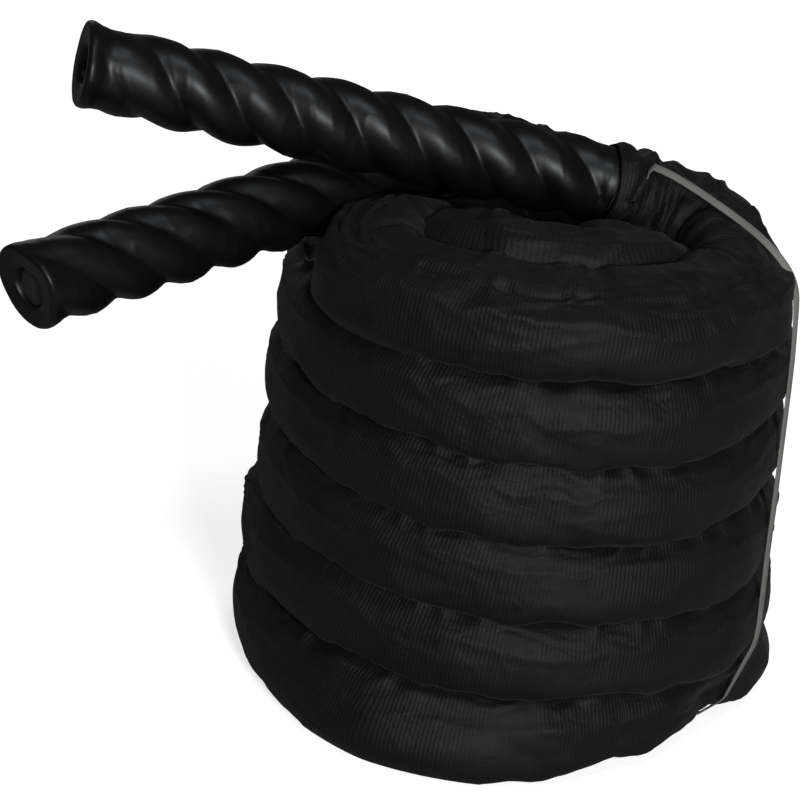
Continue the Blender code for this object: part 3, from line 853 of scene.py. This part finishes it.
# Grips: three soft lobes with a right-hand lay, a folded end and a ragged inner end. Twist and sag
# are in degrees, and sag turns the lobes one way on top and the other way below, as the skin has
# sunk. Bare is the rope left free at the root, and tilt leans the end face, both in metres.
UPPER_GRIP = {
    "twist": 32.0, "sag": 0.0, "end_swell": 0.25, "flare": 0.0014, "bare": 0.005, "tilt": 0.0016,
}
LOWER_GRIP = {
    "twist": 14.0, "sag": 24.0, "end_swell": 0.62, "flare": 0.0003, "bare": 0.0, "tilt": 0.0048,
}
SAG_TOWARDS = math.radians(53)
GRIP_COLS = 168
GRIP_ROWS = 260
GRIP_R = 0.0236
LOBE_H = 0.0050
LOBE_MEAN = 0.66
LOBE_SOFT = 0.012
SKIN_LUMP_H = 0.0007
SKIN_CREASE_H = 0.0003
EDGE_H = 0.0012
RAGGED_L = 0.0022
FLARE_BACK_SHARE = 0.6
FACE_BACK = 0.004
RIM_R = 0.0026
RIM_DEGREES = (30, 60, 90)
# Rows of the end face: share of the rim's radius, and place beyond the grip's length
END_FACE = (
    (0.82, -0.0018), (0.66, -0.0022), (0.52, -0.0027),
    (0.46, -0.0038), (0.44, -0.0060), (0.43, -0.0085),
)
FACE_WOBBLE = 0.0012
TILT_R = 0.025
TILT_L = 0.035
SKIN_GIRTH = 0.15
STRANDS = 3
STRAND_ROWS = 90
STRAND_SIDES = 14
STRAND_R = 0.0084
STRAND_OFF = 0.0103
STRAND_FROM = -0.004
STRAND_BACK = 0.012


def grip_radius(main, theta, reach, look):
    """Distance of the skin from the grip's axis, main being the length along it."""
    left = reach - main
    first = math.radians(look["twist"] - look["sag"])
    turned = first + math.radians(look["sag"]) * np.cos(theta - SAG_TOWARDS)
    own = theta - turned + TAU * main / LAY
    swell = look["end_swell"] + (1 - look["end_swell"]) * smooth(left, 0.008, 0.065)
    swell = swell * (0.6 + 0.4 * smooth(main - look["bare"], -0.002, 0.02))
    lobe = np.sqrt(np.cos(STRANDS / 2 * own) ** 2 + LOBE_SOFT)
    crease = ridges(main / 0.012 + own, theta / TAU * 9, seed=33, period=9, sharp=3.0) - 0.25
    flare = bell(left, 0.005, 0.004) - FLARE_BACK_SHARE * bell(left, 0.015, 0.005)
    radius = GRIP_R + (lobe - LOBE_MEAN) * LOBE_H * swell
    radius = radius + (grain(main / 0.03, theta / TAU * 4, 31, 4) - 0.5) * SKIN_LUMP_H
    radius = radius + crease * SKIN_CREASE_H + look["flare"] * flare
    return radius + EDGE_H * smooth(look["bare"] - main, -0.006, 0.0)


def grip_end(rim, theta, reach):
    """Rows of the rounded rim and the folded end face: their radii and places along the axis."""
    radii, places = [], []
    for degrees in RIM_DEGREES:
        a = math.radians(degrees)
        radii.append(rim - RIM_R * (1 - math.cos(a)))
        places.append(reach - FACE_BACK + RIM_R * math.sin(a))
    fold = (grain(theta / TAU * 7, 0 * theta, 43, 7) - 0.5) * FACE_WOBBLE
    for share, beyond in END_FACE:
        radii.append(rim * share + fold * smooth(-share, -0.6, -0.45))
        places.append(reach + beyond)
    return np.array(radii), np.repeat(np.array(places)[:, None], len(theta), axis=1)


def grip_rows(reach, look):
    """Radii and places along the axis of the whole skin, root first."""
    theta = np.linspace(0.0, TAU, GRIP_COLS + 1)[None, :]
    main = np.linspace(look["bare"], reach - FACE_BACK, GRIP_ROWS)[:, None]
    radius = grip_radius(main, theta, reach, look)
    place = np.broadcast_to(main, radius.shape).copy()
    ragged = RAGGED_L * grain(theta[0] / TAU * 9, 0 * theta[0], 37, 9)
    place[0] -= EDGE_H + ragged
    end_radius, end_place = grip_end(radius[-1], theta[0], reach)
    radius, place = np.vstack((radius, end_radius)), np.vstack((place, end_place))
    radius[:, -1], place[:, -1] = radius[:, 0], place[:, 0]
    near_end = smooth(place, reach - TILT_L, reach - FACE_BACK)
    place = place + look["tilt"] * radius / TILT_R * np.sin(theta) * near_end
    return radius, place, theta


def grip_skin(tag, root, axes, reach, look):
    axis, across, above = axes
    radius, place, theta = grip_rows(reach, look)
    pts = root + axis * place[..., None] + across * (radius * np.cos(theta))[..., None]
    pts = pts + above * (radius * np.sin(theta))[..., None]
    round_it = np.broadcast_to(theta / TAU * SKIN_GIRTH, place.shape)
    uv = np.stack((place, round_it), -1)
    faces = grid_faces(*place.shape)
    skin = mesh_object("grip_look_" + tag, pts.reshape(-1, 3), faces, uv.reshape(-1, 2))
    skin.data.materials.append(shrink)
    return skin


def grip_strand(name, root, axes, reach, degrees):
    axis, across, above = axes
    place = np.linspace(STRAND_FROM, reach - STRAND_BACK, STRAND_ROWS)
    turn = math.radians(degrees) - TAU * place / LAY
    off = across * np.cos(turn)[:, None] + above * np.sin(turn)[:, None]
    mid = root + axis * place[:, None] + off * STRAND_OFF
    ring = np.linspace(0.0, TAU, STRAND_SIDES, endpoint=False)
    section = STRAND_R * (across * np.cos(ring)[:, None] + above * np.sin(ring)[:, None])
    tube = mid[:, None, :] + section[None]
    faces = grid_faces(STRAND_ROWS, STRAND_SIDES, wrap=True) + end_faces(STRAND_ROWS, STRAND_SIDES)
    strand = mesh_object(name, tube.reshape(-1, 3), faces)
    strand.data.materials.append(fibre)
    return strand


def grip(tag, root, end, look):
    root, end = root + SHIFT, end + SHIFT
    axis = unit(end - root)
    across = unit(np.cross(axis, UP))
    axes = (axis, across, np.cross(across, axis))
    reach = float(np.linalg.norm(end - root))
    skin = grip_skin(tag, root, axes, reach, look)
    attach(skin, tag + "_handle")
    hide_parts("grip_" + tag)
    for n in range(STRANDS):
        degrees = look["twist"] - look["sag"] + TURN / STRANDS * n
        number = "_" + str(n + 1)
        strand = grip_strand("strand_look_" + tag + number, root, axes, reach, degrees)
        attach(strand, tag + "_handle")
        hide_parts("strand_" + tag + number)


grip("upper", UPPER_WAY[0], UPPER_END, UPPER_GRIP)
grip("lower", LOWER_WAY[0], LOWER_END, LOWER_GRIP)

# Rope inside the sleeve: three strands laid together, seen where the sleeve is open or cut
ROPE_SIDES = 24
ROPE_R = 0.0160
ROPE_LOBE_H = 0.0018
ROPE_EACH = 3


def rope_piece(name, first, last):
    k = np.append(np.arange(first, last - 1, ROPE_EACH), last - 1)
    own = np.linspace(0.0, TAU, ROPE_SIDES, endpoint=False)[None, :]
    theta = own - TAU * along[k][:, None] / LAY
    r = ROPE_R + ROPE_LOBE_H * np.abs(np.cos(STRANDS / 2 * own))
    pts = around_route(route[k], side[k], rise[k], theta, r)
    obj = mesh_object(name, pts.reshape(-1, 3), grid_faces(len(k), ROPE_SIDES, wrap=True))
    obj.data.materials.append(fibre)
    return obj


rope = rope_piece("rope_look_coil", neck, neck_back + 1)
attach(rope, "coil")
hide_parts("rope_coil")
for tag, first, last in NECKS:
    piece = rope_piece("rope_look_neck_" + tag, first, last)
    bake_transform(piece)
    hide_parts("rope_neck_" + tag)

# Tie strap: up inside the coil, taut over the fabric, down outside and back under the coil
STRAP_W = 0.0052
STRAP_T = 0.0011
STRAP_STEP = 0.003
STRAP_START = (
    (0.0374, -0.0103, 0.156),
    (0.0374, -0.0103, 0.225),
    (0.0440, 0.0080, 0.255),
    (0.0530, 0.0215, 0.283),
    (0.0570, 0.0205, 0.300),
)
STRAP_PLAN = (
    (0.0585, 0.0135, 0.0),
    (0.068, 0.0085, 0.0),
    (0.084, 0.001, 0.0),
    (0.102, -0.010, 0.0),
    (0.116, -0.020, 0.0),
    (0.130, -0.029, 0.0),
    (0.140, -0.034, 0.0),
)
STRAP_FOOT = ((-0.003, 0.001, 0.0012), (-0.014, 0.006, 0.0007))
STRAP_BACK = ((0.0445, -0.0103, 0.0007), (0.0421, -0.0103, 0.004), (0.0400, -0.0103, 0.146))
# Angle round the coil, in degrees, at which the strap falls, by height
FALL_Z = (0.0, 0.02, 0.05, 0.12, 0.20, 0.28)
FALL_ANGLE = (-19.5, -20.0, -20.5, -19.5, -17.0, -14.5)
FALL_ROWS = 90
FALL_BELOW = 0.004
FALL_TO_Z = 0.003
OVER_CLEAR = 0.0009
FALL_CLEAR = 0.0007
SKIN_DIVE = 0.010
FEEL_R = 0.0045
FEEL_Z = 0.004
FEEL_DEGREES = 2.0
BARE_R = 0.15
FOOT_R = 0.1435
FOOT_SLOPE = 0.9
LEAST_Z = 0.0001
CORNER_X = 0.062
CORNER_PASSES = 14
CORNER_SHARE = 0.7
# Place that the strap faces away from, and its extra lean towards the photograph's side
FACING_FROM = (0.085, -0.02, 0.15)
FACING_RISE_SHARE = 0.6
FACING_LEAN = (0.0, -0.75, 0.0)
FACING_PASSES = 6
# The strap's section, as shares of half its width and half its thickness
STRAP_SECTION = (
    (-1, -0.4), (-0.8, -1), (0.8, -1), (1, -0.4), (1, 0.4), (0.8, 1), (-0.8, 1), (-1, 0.4),
)
STRAP_GIRTH_STEP = 0.0015

fabric_points = np.array([v.co for obj in [coil] + necks for v in obj.data.vertices]) - SHIFT


def upper_hull(x, y):
    """Heights of a taut line laid over the points, x growing."""
    keep = []
    for point in zip(x, y):
        while len(keep) > 1:
            (x0, y0), (x1, y1) = keep[-2:]
            if (x1 - x0) * (point[1] - y0) < (y1 - y0) * (point[0] - x0):
                break
            keep.pop()
        keep.append(point)
    kx, ky = zip(*keep)
    return np.interp(x, kx, ky)


def strap_over():
    """Stretch over the coil's top: it starts under the neck's skin and lies on the fabric."""
    plan, run = curve_through(STRAP_PLAN, STRAP_STEP)
    gaps = [np.hypot(*(fabric_points[:, :2] - q[:2]).T) for q in plan]
    cover = np.array([fabric_points[gap < FEEL_R, 2].max() for gap in gaps])
    dive = SKIN_DIVE * (1 - smooth(run, -0.004, 0.006))
    return np.column_stack((plan[:, :2], upper_hull(run, cover) + OVER_CLEAR - dive))


def strap_fall(from_z):
    """Stretch down the coil's outside, taut over the turns and drawn in at its foot."""
    z = np.linspace(from_z, FALL_TO_Z, FALL_ROWS)
    turned = np.interp(z, FALL_Z, FALL_ANGLE)
    fabric_r = np.hypot(fabric_points[:, 0], fabric_points[:, 1])
    fabric_turned = np.degrees(np.arctan2(fabric_points[:, 1], fabric_points[:, 0]))
    reach = []
    for row_z, row_turned in zip(z, turned):
        near = np.abs(fabric_points[:, 2] - row_z) < FEEL_Z
        near &= np.abs(fabric_turned - row_turned) < FEEL_DEGREES
        reach.append(fabric_r[near].max() if near.any() else BARE_R)
    reach = upper_hull(-z, np.minimum(reach, FOOT_R + FOOT_SLOPE * z)) + FALL_CLEAR
    a = np.radians(turned)
    return np.column_stack((reach * np.cos(a), reach * np.sin(a), z))


def strap_line():
    over = strap_over()
    fall = strap_fall(over[-1, 2] - FALL_BELOW)
    foot = fall[-1] * (1.0, 1.0, 0.0) + STRAP_FOOT
    line = np.vstack((STRAP_START, over, fall, foot, STRAP_BACK))
    corner = smooth(line[1:-1, 2:], 0.20, 0.23) * (line[1:-1, :1] > CORNER_X)
    for _ in range(CORNER_PASSES):
        line[1:-1] += corner * ((line[:-2] + line[2:]) / 2 - line[1:-1]) * CORNER_SHARE
    return line + SHIFT


def square_to(run, v):
    return v - run * (v * run).sum(1, keepdims=True)


def strap_facing(line, run):
    """Direction of the strap's outer face at each point of its line."""
    z = line[:, 2:]
    away = line - (np.array(FACING_FROM) + SHIFT)
    away[:, 2] *= FACING_RISE_SHARE
    lean = (0.35 + 0.65 * smooth(z, 0.262, 0.285)) * smooth(z, 0.02, 0.05)
    away = unit(square_to(run, away)) + np.array(FACING_LEAN) * lean
    away = unit(square_to(run, away))
    for _ in range(FACING_PASSES):
        away[1:-1] = unit(away[:-2] + 2 * away[1:-1] + away[2:])
    return away


def strap_piece():
    line = strap_line()
    run = unit(np.gradient(line, axis=0))
    away = strap_facing(line, run)
    across = np.cross(run, away)
    corners = [across * a * STRAP_W / 2 + away * b * STRAP_T / 2 for a, b in STRAP_SECTION]
    pts = np.stack([line + q for q in corners], axis=1)
    pts[..., 2] = np.maximum(pts[..., 2], LEAST_Z)
    rows, cols = pts.shape[:2]
    place = np.repeat(lengths_along(line)[:, None], cols, axis=1)
    round_it = np.tile(np.arange(cols) * STRAP_GIRTH_STEP, (rows, 1))
    uv = np.stack((place, round_it), -1)
    faces = grid_faces(rows, cols, wrap=True) + end_faces(rows, cols)
    obj = mesh_object("tie_look_strap", pts.reshape(-1, 3), faces, uv.reshape(-1, 2))
    obj.data.materials.append(webbing)
    return obj


strap = strap_piece()
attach(strap, "coil")
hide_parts("tie_strap")

# Floor, light and camera
FLOOR_HALF = 4.0
FLOOR_Z = -0.0004
FLOOR_GLOW = 0.72
SKY_LIGHT = 0.07
WHITE = (1.0, 1.0, 1.0)
LIT_AT = (0.0, 0.0, 0.2)
DOWN = math.radians(24)
ROLL = math.radians(7.65)
CAMERA_LENS = 139.95
CAMERA_WIDTH = 36.0
CAMERA_AWAY = 1.888
CAMERA_AIM = (-0.0692, 0.0, 0.1624)


def add_to_scene(name, data):
    obj = bpy.data.objects.new(name, data)
    bpy.context.scene.collection.objects.link(obj)
    return obj


def pale_floor():
    """Floor that looks white to the camera and lights the part less than it looks."""
    m, nodes, links, shader = new_material("pale_floor")
    shader.inputs["Base Color"].default_value = (0.9, 0.9, 0.9, 1)
    shader.inputs["Roughness"].default_value = 0.9
    glow = add(nodes, "ShaderNodeEmission", {"Strength": FLOOR_GLOW})
    total = add(nodes, "ShaderNodeAddShader")
    seen = add(nodes, "ShaderNodeLightPath")
    pick = add(nodes, "ShaderNodeMixShader")
    bounce = add(nodes, "ShaderNodeBsdfDiffuse", {"Color": (0.30, 0.30, 0.30, 1)})
    links.new(shader.outputs[0], total.inputs[0])
    links.new(glow.outputs[0], total.inputs[1])
    links.new(seen.outputs["Is Camera Ray"], pick.inputs[0])
    links.new(bounce.outputs[0], pick.inputs[1])
    links.new(total.outputs[0], pick.inputs[2])
    links.new(pick.outputs[0], nodes["Material Output"].inputs["Surface"])
    return m


def floor_piece():
    h = FLOOR_HALF
    mesh = bpy.data.meshes.new("floor")
    corners = [(-h, -h, FLOOR_Z), (h, -h, FLOOR_Z), (h, h, FLOOR_Z), (-h, h, FLOOR_Z)]
    mesh.from_pydata(corners, [], [(0, 1, 2, 3)])
    mesh.materials.append(pale_floor())
    return add_to_scene("floor", mesh)


def studio():
    """World that is white to the camera and lights the part faintly."""
    world = bpy.data.worlds.new("studio")
    bpy.context.scene.world = world
    world.use_nodes = True
    nodes, links = world.node_tree.nodes, world.node_tree.links
    faint = nodes["Background"]
    faint.inputs["Color"].default_value = WHITE + (1.0,)
    faint.inputs["Strength"].default_value = SKY_LIGHT
    bright = add(nodes, "ShaderNodeBackground", {"Strength": 1.0})
    seen = add(nodes, "ShaderNodeLightPath")
    pick = add(nodes, "ShaderNodeMixShader")
    links.new(seen.outputs["Is Camera Ray"], pick.inputs[0])
    links.new(faint.outputs[0], pick.inputs[1])
    links.new(bright.outputs[0], pick.inputs[2])
    links.new(pick.outputs[0], nodes["World Output"].inputs["Surface"])


def lamp(name, place, size, size_y, energy, colour=WHITE, shines=True):
    light = bpy.data.lights.new(name, "AREA")
    light.shape = "RECTANGLE"
    light.size = size
    light.size_y = size_y
    light.energy = energy
    light.color = colour
    obj = add_to_scene(name, light)
    obj.location = place
    obj.rotation_euler = (Vector(LIT_AT) - Vector(place)).to_track_quat("-Z", "Y").to_euler()
    obj.visible_glossy = shines


def photo_camera():
    look = Vector((0, math.cos(DOWN), -math.sin(DOWN)))
    level_right = Vector((1, 0, 0))
    level_up = Vector((0, math.sin(DOWN), math.cos(DOWN)))
    right = level_right * math.cos(ROLL) + level_up * math.sin(ROLL)
    above = level_up * math.cos(ROLL) - level_right * math.sin(ROLL)
    data = bpy.data.cameras.new("photo_view")
    data.lens = CAMERA_LENS
    data.sensor_width = CAMERA_WIDTH
    camera = add_to_scene("photo_view", data)
    placed = Matrix((right, above, -look)).transposed().to_4x4()
    placed.translation = Vector(CAMERA_AIM) + Vector(SHIFT) - look * CAMERA_AWAY
    camera.matrix_world = placed
    return camera


floor = floor_piece()
studio()
lamp("key", (0.80, -2.8, 1.15), 0.6, 0.45, 56, (0.96, 0.98, 1.0))
lamp("top", (0.25, -1.1, 2.6), 0.8, 0.6, 13, (0.92, 0.96, 1.0))
lamp("back", (0.5, 2.9, 1.2), 1.4, 1.0, 24, shines=False)
lamp("rim", (-0.95, 2.5, 0.85), 0.9, 0.5, 2.5, (0.96, 0.97, 1.0))
bpy.context.scene.camera = photo_camera()
bpy.context.scene.view_settings.view_transform = "Standard"
